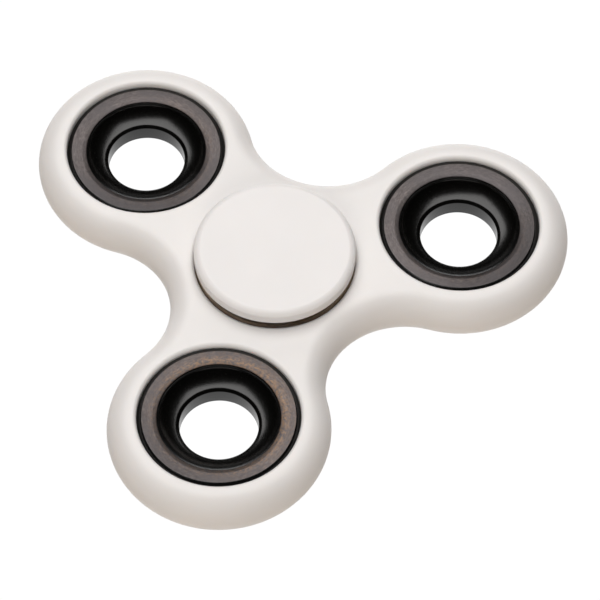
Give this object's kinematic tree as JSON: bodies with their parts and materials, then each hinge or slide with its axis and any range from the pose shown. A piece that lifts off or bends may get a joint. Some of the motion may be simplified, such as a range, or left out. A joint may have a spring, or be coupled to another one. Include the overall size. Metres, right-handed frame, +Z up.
{
  "type": "fidget spinner",
  "caption": "Flat hand spinner: a rounded three-lobed plastic body with iron ring weights turns on a ball bearing between two round finger caps.",
  "frame": {"origin": "centre of the lower cap's flat underside, on the spin axis", "axes": "+Z up the spin axis, towards the upper cap; +Y along the first lobe"},
  "size_m": [0.0758, 0.0696, 0.013],
  "materials": {
    "body_plastic": "smooth moulded white, satin gloss",
    "cap_plastic": "smooth moulded white, satin",
    "blackened_iron": "black coated, with flat faces ground bare and dulled",
    "bearing_steel": "ground bearing steel",
    "ball_steel": "polished",
    "sheet_steel": "pressed sheet"
  },
  "bodies": {
    "hub": {"cap_upper": "cap_plastic", "cap_lower": "cap_plastic", "bearing_inner_ring": "bearing_steel"},
    "spinner": {"spinner_body": "body_plastic", "weight_1": "blackened_iron", "weight_2": "blackened_iron", "weight_3": "blackened_iron", "bearing_outer_ring": "bearing_steel", "shield_upper": "sheet_steel", "shield_lower": "sheet_steel", "snap_ring_upper": "bearing_steel", "snap_ring_lower": "bearing_steel"},
    "cage": {"cage_upper": "sheet_steel", "cage_lower": "sheet_steel", "cage_rivet_1": "sheet_steel", "cage_rivet_2": "sheet_steel", "cage_rivet_3": "sheet_steel", "cage_rivet_4": "sheet_steel", "cage_rivet_5": "sheet_steel", "cage_rivet_6": "sheet_steel", "cage_rivet_7": "sheet_steel"},
    "ball_1": {"ball_1": "ball_steel"},
    "ball_2": {"ball_2": "ball_steel"},
    "ball_3": {"ball_3": "ball_steel"},
    "ball_4": {"ball_4": "ball_steel"},
    "ball_5": {"ball_5": "ball_steel"},
    "ball_6": {"ball_6": "ball_steel"},
    "ball_7": {"ball_7": "ball_steel"}
  },
  "joints": [
    {"name": "body_spin", "type": "hinge", "parent": "hub", "child": "spinner", "pos_m": [0, 0, 0.0065], "axis": [0, 0, 1], "continuous": true},
    {"name": "cage_orbit", "type": "hinge", "parent": "hub", "child": "cage", "pos_m": [0, 0, 0.0065], "axis": [0, 0, 1], "continuous": true},
    {"name": "ball_1_spin", "type": "hinge", "parent": "cage", "child": "ball_1", "pos_m": [0, 0.0075, 0.0065], "axis": [0, 0, 1], "continuous": true},
    {"name": "ball_2_spin", "type": "hinge", "parent": "cage", "child": "ball_2", "pos_m": [-0.00586, 0.00468, 0.0065], "axis": [0, 0, 1], "continuous": true},
    {"name": "ball_3_spin", "type": "hinge", "parent": "cage", "child": "ball_3", "pos_m": [-0.00731, -0.00167, 0.0065], "axis": [0, 0, 1], "continuous": true},
    {"name": "ball_4_spin", "type": "hinge", "parent": "cage", "child": "ball_4", "pos_m": [-0.00325, -0.00676, 0.0065], "axis": [0, 0, 1], "continuous": true},
    {"name": "ball_5_spin", "type": "hinge", "parent": "cage", "child": "ball_5", "pos_m": [0.00325, -0.00676, 0.0065], "axis": [0, 0, 1], "continuous": true},
    {"name": "ball_6_spin", "type": "hinge", "parent": "cage", "child": "ball_6", "pos_m": [0.00731, -0.00167, 0.0065], "axis": [0, 0, 1], "continuous": true},
    {"name": "ball_7_spin", "type": "hinge", "parent": "cage", "child": "ball_7", "pos_m": [0.00586, 0.00468, 0.0065], "axis": [0, 0, 1], "continuous": true}
  ],
  "couplings": [
    {"joint": "cage_orbit", "follows": "body_spin", "ratio": 0.6323},
    {"joint": "ball_1_spin", "follows": "body_spin", "ratio": 1.7573},
    {"joint": "ball_2_spin", "follows": "body_spin", "ratio": 1.7573},
    {"joint": "ball_3_spin", "follows": "body_spin", "ratio": 1.7573},
    {"joint": "ball_4_spin", "follows": "body_spin", "ratio": 1.7573},
    {"joint": "ball_5_spin", "follows": "body_spin", "ratio": 1.7573},
    {"joint": "ball_6_spin", "follows": "body_spin", "ratio": 1.7573},
    {"joint": "ball_7_spin", "follows": "body_spin", "ratio": 1.7573}
  ]
}
